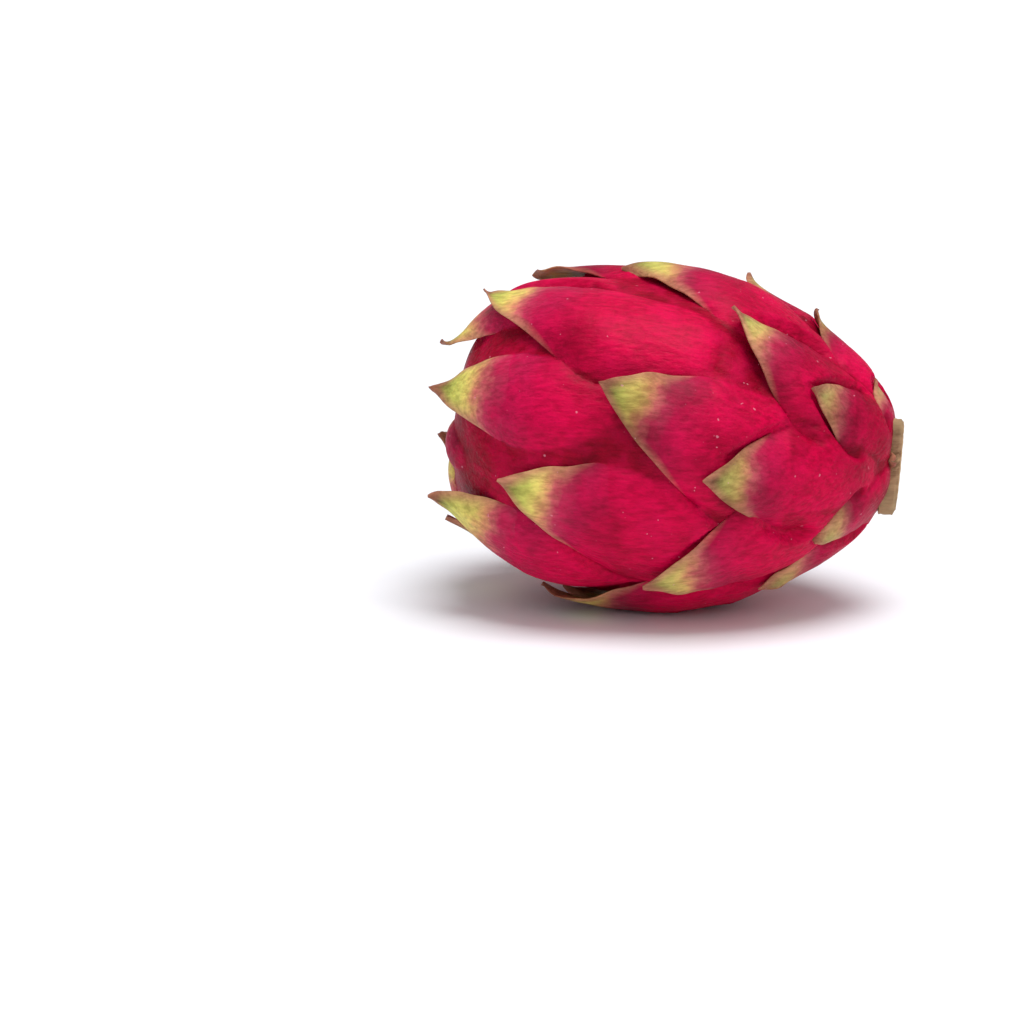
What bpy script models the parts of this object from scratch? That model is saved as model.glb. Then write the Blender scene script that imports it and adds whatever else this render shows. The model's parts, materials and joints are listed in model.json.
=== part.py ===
"""A whole red dragon fruit lying on its side, as picked.

The fruit lies along X, stalk end towards +X and blossom end towards -X, and rests on Z = 0.
The rind is one body: a surface of revolution with a raised cushion under every scale, and the
scales themselves, which leave the cushions as thin triangular flaps that point to the blossom end.
The cut stalk sits in a pit at one end, and the withered flower in the navel at the other.
"""

import math

import bmesh
import bpy
import numpy as np

MM = 0.001

# The rind's body, without its relief
HALF_TO_STALK = 55.5 * MM
HALF_TO_BLOSSOM = 58.0 * MM
BODY_RADIUS = 40.2 * MM
STALK_TAPER = 0.15  # how much slimmer the stalk end is than the round of its curve
STALK_ROUND = (1.85, 1.75)  # exponents of the end's curve: how blunt, how full
BLOSSOM_ROUND = (3.0, 2.5)
PIT_DEPTH = 3.0 * MM
PIT_RADIUS = 8.5 * MM
NAVEL_DEPTH = 7.0 * MM
NAVEL_RADIUS = 7.5 * MM

# How the fruit lies
TILT = math.radians(3.5)  # the slimmer stalk end is the lower one
AXIS_HEIGHT = 42.6 * MM
AXIS_X = 5.9 * MM
AXIS_Y = 0.0 * MM
STALK_RISE = 1.0 * MM  # how far the stalk end bends up again
RISE_FROM = 36.0 * MM
RISE_RUN = 18.0 * MM

# The scales stand in a spiral of eleven rows
FIRST_SCALE = -11
LAST_SCALE = 22
DIVERGENCE = math.radians(65.45)
SPIRAL_START = math.radians(-0.5)
TIP_STATION = 64.0 * MM  # of scale 0's tip, along the rind from the stalk
STATION_STEP = 5.0 * MM
CROWDED_FROM = 12  # past this scale the tips crowd towards the navel
CROWDED_STEP = 3.2 * MM
SCALE_SEED = 7
# Scales that stand off the even spiral: number: (towards the blossom, round the fruit in degrees)
SHIFTED = {
    -10: (8.0 * MM, 14.0),
    -9: (13.0 * MM, -9.0),
    -6: (1.0 * MM, -5.0),
    -5: (1.0 * MM, 7.0),
    -4: (3.5 * MM, 3.0),
    -1: (-10.0 * MM, 4.0),
    0: (2.0 * MM, 0.0),
    1: (-5.5 * MM, -4.0),
    2: (-8.0 * MM, -14.0),
    4: (13.5 * MM, 8.0),
    5: (-11.5 * MM, -8.0),
    6: (-3.0 * MM, -5.5),
    7: (-10.0 * MM, -6.0),
    10: (-13.0 * MM, 0.0),
    11: (-6.0 * MM, -8.0),
    12: (3.0 * MM, 12.0),
    13: (-10.0 * MM, -16.0),
    18: (1.5 * MM, -8.0),
}
# Scales whose dry tips stand off the rind, or lie close to it: number: curl, times the usual
LIFTED = {
    -11: 2.0,
    -10: 3.4,
    -9: 3.4,
    -7: 2.5,
    -4: 3.6,
    2: 2.6,
    7: -0.6,
    12: 1.3,
    13: 1.0,
    16: 1.6,
    18: 3.6,
}
# Scales whose tips also turn up at their very end: number: turn per metre
HOOKED = {-4: 60.0, 12: 60.0, 13: 120.0}
# Scales that lean sideways otherwise than the rest: number: sideways over lengthways
LEANING = {-5: 0.1, 0: 0.05, 1: 0.34, 5: -0.15, 6: 0.38, 11: 0.34, 12: 0.5}

SCALE_WIDTH = 0.42  # half-width at the widest, as a share of the rind's radius there
BASE_LENGTH = 2.1  # from the widest back to where the cushion starts, in half-widths
CUSHION_HEIGHT = 3.7 * MM
LEAN = 0.18  # sideways over lengthways, where a flap swings round towards its tip
SHORTEST_AT_NAVEL = 17.0 * MM  # flap length that the small scales round the navel keep
FREE_TIP = 0.55  # share of the flap that stands free along its middle
FLAP_ROOT = 0.22  # share of the flap's length sunk back into its cushion
ROOT_SINKS = 2.5 * MM
ROOT_THICKNESS = 2.0 * MM
EDGE_THICKNESS = 0.9 * MM
TIP_HALF_WIDTH = 0.8 * MM
FLAP_CLEARANCE = 0.7 * MM  # between a flap and the next cushion under it
ROOM_SLOPE = 0.5  # how steeply the next cushion may rise outside a flap's margin

# The cut stalk, a round core with three ribs, and the withered flower, each in a socket a little
# wider than itself
STALK_CORE = 5.0 * MM
STALK_RIBS = {-85.0: 10.5 * MM, 62.0: 6.0 * MM, 170.0: 5.5 * MM}  # degrees round the stalk: height
RIB_SPREAD = math.radians(24.0)
RIB_FLANKS = 10.0 * MM  # radius where the room beside the ribs is measured
RIB_LENGTH = 5.6 * MM  # along the stalk, down to where the ribs sink into the rind
STALK_END = 54.9 * MM  # the cut face's place along the fruit's axis
STALK_DEPTH = 5.0 * MM  # how deep the stalk is rooted, from the bottom of the pit
SOCKET_DEPTH = 2.5 * MM
SCAR_RADIUS = 4.2 * MM
SCAR_RIB = 0.3 * MM
SCAR_LENGTH = 4.5 * MM
GAP = 0.3 * MM

# How finely the solids are cut
BODY_SEGMENTS = 54
BODY_RINGS = 36
FLAP_STEPS = 6
FLAP_ACROSS = 4
TURNED_SEGMENTS = 48


def smooth(x):
    """0 below 0, 1 above 1, and an even S between."""
    x = np.clip(x, 0.0, 1.0)
    return x * x * (3 - 2 * x)


def body_outline(count=1601):
    """The body's outline from the stalk's pole to the blossom's: arrays of the distance along it,
    x, radius and heading."""
    share = np.cos(np.linspace(0.0, math.pi, count))
    stalk = share > 0
    blunt = np.where(stalk, STALK_ROUND[0], BLOSSOM_ROUND[0])
    full = np.where(stalk, STALK_ROUND[1], BLOSSOM_ROUND[1])
    round_end = (1 - np.abs(share) ** blunt).clip(0) ** (1 / full)
    radius = BODY_RADIUS * round_end * (1 - STALK_TAPER * share * smooth(share / 0.4))
    x = np.where(stalk, HALF_TO_STALK, HALF_TO_BLOSSOM) * share
    x -= np.where(stalk, PIT_DEPTH * np.exp(-((radius / PIT_RADIUS) ** 2)), 0)
    x += np.where(stalk, 0, NAVEL_DEPTH * np.exp(-((radius / NAVEL_RADIUS) ** 2)))
    along = np.concatenate([[0.0], np.cumsum(np.hypot(np.diff(x), np.diff(radius)))])
    heading = np.unwrap(np.arctan2(np.gradient(radius), np.gradient(x)))
    return along, x, radius, heading


ALONG, OUTLINE_X, OUTLINE_R, HEADING = body_outline()
RIND_LENGTH = ALONG[-1]


def on_outline(u):
    """x, radius and heading of the body at the distance u from the stalk's pole."""
    return np.interp(u, ALONG, OUTLINE_X), np.interp(u, ALONG, OUTLINE_R), np.interp(u, ALONG, HEADING)


def scale_list():
    """Every scale as a dictionary of its place in the spiral, its sizes and its curl."""
    draw = np.random.default_rng(SCALE_SEED)
    scales = []
    for number in range(FIRST_SCALE, LAST_SCALE + 1):
        along, around = SHIFTED.get(number, (0.0, 0.0))
        wobble = draw.uniform(-1, 1, 4)
        even = min(number, CROWDED_FROM)
        tip = TIP_STATION + STATION_STEP * even + CROWDED_STEP * (number - even) + along
        angle = SPIRAL_START + DIVERGENCE * number + math.radians(around)
        early = float(smooth((50 * MM - tip) / (30 * MM)))
        late = float(smooth((tip - 112 * MM) / (30 * MM)))
        slender = 1.75 - 0.4 * early + 0.6 * late
        # The widest place is found from the tip by stepping back until the sizes agree.
        width = 10 * MM
        for _ in range(30):
            crown = max(tip - max(slender * width, SHORTEST_AT_NAVEL * late), 0.4 * tip)
            full_width = SCALE_WIDTH * on_outline(crown)[1] * (1 + 0.05 * wobble[0]) + 0.5 * MM
            width = 0.5 * (width + full_width * (1 - 0.15 * late))
        # A scale under the fruit is pressed flat, but for the small ones at its ends.
        pressed = float(smooth((-math.sin(angle) - 0.6) / 0.25)) * (1 - late)
        pressed *= float(smooth((tip - 40 * MM) / (15 * MM)))
        lifted = LIFTED.get(number, 1.0)
        curl = (44 + 18 * wobble[1] + 20 * early + 14 * late) * lifted
        scales.append(
            {
                "crown": crown,
                "angle": angle,
                "girth": on_outline(crown)[1],
                "half_width": width,
                "flap": tip - crown,
                "base": BASE_LENGTH * width,
                "height": CUSHION_HEIGHT * min(1.0, width / (14 * MM)) * (1 + 0.12 * wobble[2]),
                "lean": LEANING.get(number, LEAN * (1 + 0.3 * wobble[3])),
                "curl": curl * (1 - pressed) - 40 * pressed,
                "straight": min(1.0, (0.35 + 0.65 * late) * max(lifted, 0.0)) * (1 - pressed),
                "curls_from": 0.4 - 0.25 * float(smooth(lifted - 2)) * (1 - late),
                "hook": HOOKED.get(number, 0.0),
            }
        )
    return scales


def middle_angle(scale, p):
    """The angle round the fruit of the scale's middle line, p past its widest place: it slants
    under the flap, and runs straight again behind it."""
    slant = 0.25 * scale["base"]
    back = slant * (1 - np.exp(np.minimum(p, 0.0) / slant))
    run = scale["flap"] - np.maximum(p, 0.0) + back
    return scale["angle"] - scale["lean"] * run / scale["girth"]


def half_width(scale, p):
    """Half the scale's width: it narrows a little to its root, and before its widest place is a
    triangle with bulging sides and a small blunt tip."""
    root = 1 - 0.5 * (np.minimum(p, 0.0) / scale["base"]) ** 2
    to_tip = np.clip(1 - p / scale["flap"], 0.0, 1.0)
    front = 1 - (1 - to_tip) ** 1.2
    return np.maximum(scale["half_width"] * np.where(p < 0, root, front), TIP_HALF_WIDTH)


def top_height(scale, p, q):
    """Height of the scale's outer face over the body, p past its widest place and q to its side:
    a domed cushion that flattens into a blade towards the tip."""
    behind = np.clip(1 + p / scale["base"], 0.0, 1.0)
    rise = np.where(p < 0, np.sin(0.5 * math.pi * behind) ** 0.9, 1 + 0.3 * p / scale["flap"])
    flatten = 1 - 0.8 * smooth(p / (0.9 * scale["flap"]))
    return scale["height"] * rise * (1 - np.abs(q / half_width(scale, p)) ** 2.4 * flatten)


def thickness(scale, p, q):
    """The flap's thickness: fleshy along its middle, thin at its margins and tip."""
    middle = smooth(1 - np.abs(q) / half_width(scale, p)) ** 0.5
    inward = smooth((scale["flap"] - p) / (0.8 * scale["flap"]))
    root = ROOT_THICKNESS * min(1.0, 0.45 + scale["half_width"] / (25 * MM))
    return EDGE_THICKNESS + (root - EDGE_THICKNESS) * middle * inward


def cushion(scale, u, angle, radius):
    """Height that one scale gives the rind, u along it and at an angle round it: its whole outer
    face behind its widest place, and before it what fills the space under the flap, in from the
    margin and behind the free tip."""
    p = u - scale["crown"]
    q = radius * np.angle(np.exp(1j * (angle - middle_angle(scale, p))))
    outer = np.maximum(top_height(scale, p, q), 0.0)
    sunk = smooth(p / (0.3 * scale["flap"]))
    leaving = smooth(p / (0.45 * scale["flap"]))
    inside_margin = smooth((half_width(scale, p) - np.abs(q) - 1.0 * MM) / (2.4 * MM))
    behind_tip = smooth((scale["flap"] * (1 - FREE_TIP) - p) / (3.0 * MM))
    height = np.maximum(outer - 0.5 * thickness(scale, p, q) * sunk, 0.0)
    height = height * (1 - leaving + leaving * inside_margin * behind_tip)
    return np.where((p > -scale["base"]) & (p < scale["flap"]), height, 0.0)


def room_under(scale, u, angle, radius):
    """The most height that other scales may reach near this one: up to its flap's inner face, or
    up to its cushion beside its widest place, rising outside its margin and further back."""
    p = u - scale["crown"]
    q = radius * np.angle(np.exp(1j * (angle - middle_angle(scale, p))))
    near = np.clip(p, -0.7 * scale["flap"], scale["flap"])
    width = half_width(scale, near)
    inside = np.clip(q, -width, width)
    guide_p, guide_x, guide_r, guide_heading = flap_guide(scale)
    body_x, body_r, body_heading = on_outline(scale["crown"] + guide_p)
    lift = (guide_x - body_x) * np.sin(body_heading) - (guide_r - body_r) * np.cos(body_heading)
    clear = thickness(scale, near, inside) + FLAP_CLEARANCE
    under = top_height(scale, near, inside) - clear * smooth(p / (0.15 * scale["flap"]))
    under = np.maximum(under + np.interp(near, guide_p, lift), 0.0)
    outside = np.maximum(np.abs(q) - width, 0.0) + np.maximum(p - scale["flap"], 0.0)
    behind = 6 * MM * smooth((-p / scale["flap"] - 0.15) / 0.55)
    return np.where(p > -0.7 * scale["flap"], under + ROOM_SLOPE * outside + behind, 1.0)


def relief(scales, u, angle, radius):
    """The cushions, each kept below the flaps of the others and joined into soft valleys: the
    tenth root of the sum of their tenth powers, fading out at both poles."""
    rooms = np.stack([room_under(scale, u, angle, radius) for scale in scales])
    total = np.zeros(u.shape)
    for number, scale in enumerate(scales):
        room = np.delete(rooms, number, axis=0).min(axis=0)
        total += (np.minimum(cushion(scale, u, angle, radius), room) / MM) ** 10
    fade = smooth(u / (9 * MM)) * smooth((RIND_LENGTH - u) / (12 * MM))
    return total**0.1 * MM * fade


def lay_down(x, radius, angle):
    """A point of the fruit's own axis, radius and angle, as the fruit lies: angle 0 faces -Y, a
    quarter turn faces up, and the axis tips down to the stalk, where it bends up a little."""
    z = radius * np.sin(angle) + STALK_RISE * smooth((x - RISE_FROM) / RISE_RUN)
    return np.stack(
        [
            x * math.cos(TILT) + z * math.sin(TILT) + AXIS_X,
            AXIS_Y - radius * np.cos(angle),
            z * math.cos(TILT) - x * math.sin(TILT) + AXIS_HEIGHT,
        ],
        axis=-1,
    )


def flap_guide(scale, count=160):
    """The line under a flap's middle as arrays of p, x, radius and heading: along the body at
    first, then straighter than it, then curling away from it towards the tip."""
    p = np.linspace(-FLAP_ROOT * scale["flap"], scale["flap"], count)
    step = p[1] - p[0]
    x, radius, heading = on_outline(scale["crown"] + p)
    leaves = 0.3 * scale["flap"]
    free = smooth((p - leaves) / (0.35 * scale["flap"]))
    near_tip = smooth((p / scale["flap"] - scale["curls_from"]) / (1 - scale["curls_from"]))
    turn = np.gradient(heading, p)
    turn = turn * (1 - scale["straight"] * free) - scale["curl"] * near_tip
    turn -= scale["hook"] * smooth((p / scale["flap"] - 0.7) / 0.2)
    first = int(np.argmax(p >= leaves))
    turned = np.cumsum(turn[first:-1]) * step
    heading[first + 1 :] = heading[first] + turned
    x[first + 1 :] = x[first] + np.cumsum(np.cos(heading[first:-1])) * step
    radius[first + 1 :] = radius[first] + np.cumsum(np.sin(heading[first:-1])) * step
    return p, x, radius, heading


def flap_points(scale, guide, s, t, depth):
    """Points of a flap: s runs from 0 at its root to 1 at its tip, t from -1 to 1 across it, and
    depth from 0 on its outer face to 1 on its inner."""
    p = scale["flap"] * (s * (1 + FLAP_ROOT) - FLAP_ROOT)
    q = t * half_width(scale, p)
    guide_p, guide_x, guide_r, guide_heading = guide
    x = np.interp(p, guide_p, guide_x)
    radius = np.interp(p, guide_p, guide_r)
    heading = np.interp(p, guide_p, guide_heading)
    height = top_height(scale, p, q) - depth * thickness(scale, p, q)
    height = height - ROOT_SINKS * smooth(-p / (FLAP_ROOT * scale["flap"]))
    angle = middle_angle(scale, p) + q / np.maximum(radius, 6 * MM)
    return lay_down(x + height * np.sin(heading), radius - height * np.cos(heading), angle)


def material(name, color, roughness):
    """A plain Principled material with a linear colour."""
    made = bpy.data.materials.new(name)
    made.use_nodes = True
    shader = made.node_tree.nodes["Principled BSDF"]
    shader.inputs["Base Color"].default_value = (*color, 1.0)
    shader.inputs["Roughness"].default_value = roughness
    shader.inputs["Metallic"].default_value = 0.0
    return made


def add_object(name, mesh, collection):
    """A new object with this mesh in this collection."""
    made = bpy.data.objects.new(name, mesh)
    collection.objects.link(made)
    return made


def make_body(scales, collection):
    """The rind without its flaps: a sphere whose rings are laid along the body's outline, pushed
    out by the relief."""
    bm = bmesh.new()
    bmesh.ops.create_uvsphere(bm, u_segments=BODY_SEGMENTS, v_segments=BODY_RINGS, radius=1.0)
    # Laying the sphere along the fruit mirrors it, so its faces are turned round first.
    bmesh.ops.reverse_faces(bm, faces=bm.faces)
    mesh = bpy.data.meshes.new("fruit")
    bm.to_mesh(mesh)
    bm.free()
    ball = np.empty(len(mesh.vertices) * 3, np.float32)
    mesh.vertices.foreach_get("co", ball)
    ball = ball.reshape(-1, 3).astype(float)
    u = RIND_LENGTH * np.arccos(ball[:, 2].clip(-1, 1)) / math.pi
    angle = np.arctan2(ball[:, 1], ball[:, 0])
    x, radius, heading = on_outline(u)
    height = relief(scales, u, angle, radius)
    places = lay_down(x + height * np.sin(heading), radius - height * np.cos(heading), angle)
    mesh.vertices.foreach_set("co", places.ravel())
    mesh.update()
    return add_object("fruit", mesh, collection)


def make_flap(scale, name, collection):
    """One flap, a closed blade: a grid for each face, joined round its outline."""
    across, along = np.meshgrid(np.linspace(-1, 1, FLAP_ACROSS + 1), np.linspace(0, 1, FLAP_STEPS + 1))
    guide = flap_guide(scale)
    outer = flap_points(scale, guide, along.ravel(), across.ravel(), 0.0)
    inner = flap_points(scale, guide, along.ravel(), across.ravel(), 1.0)
    number = np.arange(along.size).reshape(along.shape)
    corners = [number[:-1, :-1], number[:-1, 1:], number[1:, 1:], number[1:, :-1]]
    faces = np.stack(corners, axis=-1).reshape(-1, 4)
    rim = np.concatenate([number[0, :-1], number[:-1, -1], number[-1, :0:-1], number[:0:-1, 0]])
    after = np.roll(rim, -1)
    walls = np.stack([after, rim, rim + along.size, after + along.size], axis=-1)
    mesh = bpy.data.meshes.new(name)
    joined = np.concatenate([faces, faces[:, ::-1] + along.size, walls])
    mesh.from_pydata(np.concatenate([outer, inner]).tolist(), [], joined.tolist())
    bm = bmesh.new()
    bm.from_mesh(mesh)
    bmesh.ops.recalc_face_normals(bm, faces=bm.faces)
    bmesh.ops.triangulate(bm, faces=bm.faces)
    bm.to_mesh(mesh)
    bm.free()
    return add_object(name, mesh, collection)


def apply_modifiers(thing):
    """Replaces the object's mesh by what its modifiers make of it."""
    graph = bpy.context.evaluated_depsgraph_get()
    mesh = bpy.data.meshes.new_from_object(thing.evaluated_get(graph))
    thing.modifiers.clear()
    thing.data = mesh


def keep_outer_shell(thing):
    """Drops every loose piece but the largest: scraps that a cut leaves, and pockets sealed under
    flaps."""
    bm = bmesh.new()
    bm.from_mesh(thing.data)
    seen = set()
    shells = []
    for face in bm.faces:
        if face in seen:
            continue
        shell = [face]
        seen.add(face)
        for reached in shell:
            for edge in reached.edges:
                fresh = [other for other in edge.link_faces if other not in seen]
                seen.update(fresh)
                shell.extend(fresh)
        shells.append(shell)
    shells.sort(key=len)
    loose = [face for shell in shells[:-1] for face in shell]
    bmesh.ops.delete(bm, geom=loose, context="FACES")
    bm.to_mesh(thing.data)
    bm.free()


def turned_mesh(name, rings):
    """A closed mesh along the fruit's axis from rings of (x, radius), where the radius may be one
    number or an array round the ring."""
    turn = np.linspace(0, 2 * math.pi, TURNED_SEGMENTS, endpoint=False)
    bm = bmesh.new()
    loops = []
    for x, radius in rings:
        places = lay_down(np.full(TURNED_SEGMENTS, x), radius + 0 * turn, turn)
        loops.append([bm.verts.new(place) for place in places])
    for loop, following in zip(loops, loops[1:]):
        for i in range(TURNED_SEGMENTS):
            j = (i + 1) % TURNED_SEGMENTS
            bm.faces.new([loop[i], loop[j], following[j], following[i]])
    bm.faces.new(loops[0])
    bm.faces.new(loops[-1])
    bmesh.ops.recalc_face_normals(bm, faces=bm.faces)
    mesh = bpy.data.meshes.new(name)
    bm.to_mesh(mesh)
    bm.free()
    return mesh


def make_cutter(name, rings, cutters):
    """A cutter along the fruit's axis, shown as wires."""
    cutter = add_object(name, turned_mesh(name, rings), cutters)
    cutter.hide_render = True
    cutter.display_type = "WIRE"
    return cutter


def make_floor_cutter(cutters):
    """A block below Z = 0, which leaves the flat spot that the fruit rests on."""
    bm = bmesh.new()
    bmesh.ops.create_cube(bm, size=0.2)
    bmesh.ops.translate(bm, verts=bm.verts, vec=(0, 0, -0.1))
    mesh = bpy.data.meshes.new("floor_cutter")
    bm.to_mesh(mesh)
    bm.free()
    cutter = add_object("floor_cutter", mesh, cutters)
    cutter.hide_render = True
    cutter.display_type = "WIRE"
    return cutter


def make_fruit(collection, cutters):
    """The rind and its scales in one body, with its two sockets and its flat spot."""
    scales = scale_list()
    fruit = make_body(scales, collection)
    flaps = bpy.data.collections.new("flaps")
    bpy.context.scene.collection.children.link(flaps)
    for number, scale in enumerate(scales):
        make_flap(scale, f"flap_{number}", flaps)
    join = fruit.modifiers.new("flaps", "BOOLEAN")
    join.operation = "UNION"
    join.operand_type = "COLLECTION"
    join.collection = flaps
    join.solver = "MANIFOLD"
    apply_modifiers(fruit)
    for flap in list(flaps.objects):
        bpy.data.objects.remove(flap)
    bpy.data.collections.remove(flaps)

    navel_floor = OUTLINE_X[-1] + SOCKET_DEPTH
    navel_rings = [(navel_floor, SCAR_RADIUS + GAP), (navel_floor - 20 * MM, SCAR_RADIUS + GAP)]
    cut_with = [
        make_floor_cutter(cutters),
        make_cutter("stalk_socket", stalk_rings(GAP), cutters),
        make_cutter("navel_socket", navel_rings, cutters),
    ]
    for cutter in cut_with:
        cut = fruit.modifiers.new(cutter.name, "BOOLEAN")
        cut.operation = "DIFFERENCE"
        cut.object = cutter
        cut.solver = "MANIFOLD"
    apply_modifiers(fruit)
    keep_outer_shell(fruit)
    return fruit


def stalk_radius(core, flare, grow=0.0):
    """The stalk's radius round a ring: its core, and as much of its ribs as flare says, all of it
    wider by grow."""
    turn = np.linspace(0, 2 * math.pi, TURNED_SEGMENTS, endpoint=False)
    radius = np.full(TURNED_SEGMENTS, core + grow)
    for degrees, height in STALK_RIBS.items():
        away = np.abs(np.angle(np.exp(1j * (turn - math.radians(degrees)))))
        away = np.maximum(away - grow / RIB_FLANKS, 0.0)
        radius += flare * height * np.exp(-((away / RIB_SPREAD) ** 2))
    return radius


def stalk_rings(grow):
    """The stalk's rings from its root in the socket to its cut end, or the rings of the room that
    it needs, which is wider by grow and open at the end."""
    root = OUTLINE_X[0] - STALK_DEPTH
    ribs_from = STALK_END - RIB_LENGTH
    rings = [
        (root - grow, STALK_CORE + grow),
        (ribs_from - grow, STALK_CORE + grow),
        (ribs_from + 0.9 * MM - grow, stalk_radius(STALK_CORE, 0.85, grow)),
    ]
    if grow > 0:
        rings.append((STALK_END + 20 * MM, stalk_radius(STALK_CORE, 1.0, grow)))
    else:
        rings.append((STALK_END - 0.6 * MM, stalk_radius(0.96 * STALK_CORE, 0.97)))
        rings.append((STALK_END, stalk_radius(0.84 * STALK_CORE, 0.87)))
    return rings


def add_turned(name, rings, collection):
    """A solid along the fruit's axis from rings, shaded smooth but for its edges."""
    mesh = turned_mesh(name, rings)
    mesh.shade_smooth()
    mesh.set_sharp_from_angle(angle=math.radians(40))
    return add_object(name, mesh, collection)


def scar_rings():
    """The rings of what is left of the flower: a short withered neck, puckered round its rim."""
    turn = np.linspace(0, 2 * math.pi, TURNED_SEGMENTS, endpoint=False)
    root = OUTLINE_X[-1] + SOCKET_DEPTH - GAP
    puckered = SCAR_RADIUS - SCAR_RIB + SCAR_RIB * np.cos(9 * turn)
    shares = [(0.0, 1.0), (0.5, 0.9), (0.8, 0.8), (1.0, 0.5), (0.8, 0.2)]
    return [(root - along * SCAR_LENGTH, wide * puckered) for along, wide in shares]


for leftover in list(bpy.data.objects):
    bpy.data.objects.remove(leftover)
fruit_parts = bpy.data.collections.new("red_dragon_fruit")
bpy.context.scene.collection.children.link(fruit_parts)
fruit_cutters = bpy.data.collections.new("cutters")
bpy.context.scene.collection.children.link(fruit_cutters)

rind = make_fruit(fruit_parts, fruit_cutters)
rind.data.materials.clear()
rind.data.materials.append(material("red_rind", (0.54, 0.012, 0.065), 0.42))
stalk_stub = add_turned("stem_stub", stalk_rings(0.0), fruit_parts)
stalk_stub.data.materials.append(material("woody_stalk", (0.35, 0.21, 0.12), 0.8))
withered_flower = add_turned("flower_scar", scar_rings(), fruit_parts)
withered_flower.data.materials.append(material("withered_flower", (0.12, 0.06, 0.035), 0.85))
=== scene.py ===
import json
import math

import bmesh
import bpy
import numpy as np
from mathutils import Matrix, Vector

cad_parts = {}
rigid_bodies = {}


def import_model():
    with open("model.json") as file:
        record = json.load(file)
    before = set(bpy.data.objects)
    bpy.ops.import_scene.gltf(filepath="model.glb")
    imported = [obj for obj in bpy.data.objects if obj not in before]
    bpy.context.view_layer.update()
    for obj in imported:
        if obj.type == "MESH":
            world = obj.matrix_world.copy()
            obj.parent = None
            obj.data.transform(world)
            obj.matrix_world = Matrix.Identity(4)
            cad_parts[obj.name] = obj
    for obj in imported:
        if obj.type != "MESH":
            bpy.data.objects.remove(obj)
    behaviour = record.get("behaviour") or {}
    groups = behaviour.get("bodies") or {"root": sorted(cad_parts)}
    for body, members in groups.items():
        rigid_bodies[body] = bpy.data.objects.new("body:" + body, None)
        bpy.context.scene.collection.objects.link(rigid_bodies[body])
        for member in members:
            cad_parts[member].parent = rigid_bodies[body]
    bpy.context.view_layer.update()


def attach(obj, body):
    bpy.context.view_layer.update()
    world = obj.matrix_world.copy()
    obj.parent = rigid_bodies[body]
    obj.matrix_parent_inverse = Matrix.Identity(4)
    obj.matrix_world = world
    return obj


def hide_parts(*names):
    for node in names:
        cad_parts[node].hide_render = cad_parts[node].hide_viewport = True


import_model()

# Rind and scales
# The fruit's thick waxy skin, grown in one with its leafy scales, 34 of them in a spiral. Each scale
# is a fleshy cushion on the rind that ends in a thin free flap, which dries and curls at its tip.
MM = 0.001

# The body under the scales, turned round its axis
HALF_TO_STALK = 55.5 * MM
HALF_TO_BLOSSOM = 58.0 * MM
BODY_RADIUS = 40.2 * MM
STALK_TAPER = 0.15  # how much slimmer the stalk end is than the round of its curve
STALK_ROUND = (1.85, 1.75)  # exponents of the end's curve: how blunt, how full
BLOSSOM_ROUND = (3.0, 2.5)
PIT_DEPTH = 3.0 * MM
PIT_RADIUS = 8.5 * MM
NAVEL_DEPTH = 7.0 * MM
NAVEL_RADIUS = 7.5 * MM

# How the fruit lies
TILT = math.radians(3.5)  # the slimmer stalk end is the lower one
AXIS_HEIGHT = 42.6 * MM
AXIS_X = 5.9 * MM
STALK_RISE = 1.0 * MM  # how far the stalk end bends up again
RISE_FROM = 36.0 * MM
RISE_RUN = 18.0 * MM

# The spiral of the scales, numbered from the stalk
FIRST_SCALE = -11
LAST_SCALE = 22
DIVERGENCE = math.radians(65.45)
SPIRAL_START = math.radians(-0.5)
TIP_STATION = 64.0 * MM  # of scale 0's tip, along the rind from the stalk
STATION_STEP = 5.0 * MM
CROWDED_FROM = 12  # past this scale the tips crowd towards the navel
CROWDED_STEP = 3.2 * MM
SCALE_SEED = 7
# Scales off the even spiral: number: (towards the blossom, round the fruit in degrees)
SHIFTED = {
    -10: (8.0 * MM, 14.0),
    -9: (13.0 * MM, -9.0),
    -6: (1.0 * MM, -5.0),
    -5: (1.0 * MM, 7.0),
    -4: (3.5 * MM, 3.0),
    -1: (-10.0 * MM, 4.0),
    0: (2.0 * MM, 0.0),
    1: (-5.5 * MM, -4.0),
    2: (-8.0 * MM, -14.0),
    4: (13.5 * MM, 8.0),
    5: (-11.5 * MM, -8.0),
    6: (-3.0 * MM, -5.5),
    7: (-10.0 * MM, -6.0),
    10: (-13.0 * MM, 0.0),
    11: (-6.0 * MM, -8.0),
    12: (3.0 * MM, 12.0),
    13: (-10.0 * MM, -16.0),
    18: (1.5 * MM, -8.0),
}
# Scales whose tips stand off the rind, or lie close to it: number: curl, times the usual
LIFTED = {
    -11: 2.0,
    -10: 3.4,
    -9: 3.4,
    -7: 2.5,
    -4: 3.6,
    2: 2.6,
    7: -0.6,
    12: 1.3,
    13: 1.0,
    16: 1.6,
    18: 3.6,
}
# Scales whose tips also turn up at their very end: number: turn in radians per metre
HOOKED = {-4: 60.0, 12: 60.0, 13: 120.0}
# Scales that lean sideways otherwise than the rest: number: sideways over lengthways
LEANING = {-5: 0.1, 0: 0.05, 1: 0.34, 5: -0.15, 6: 0.38, 11: 0.34, 12: 0.5}

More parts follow.
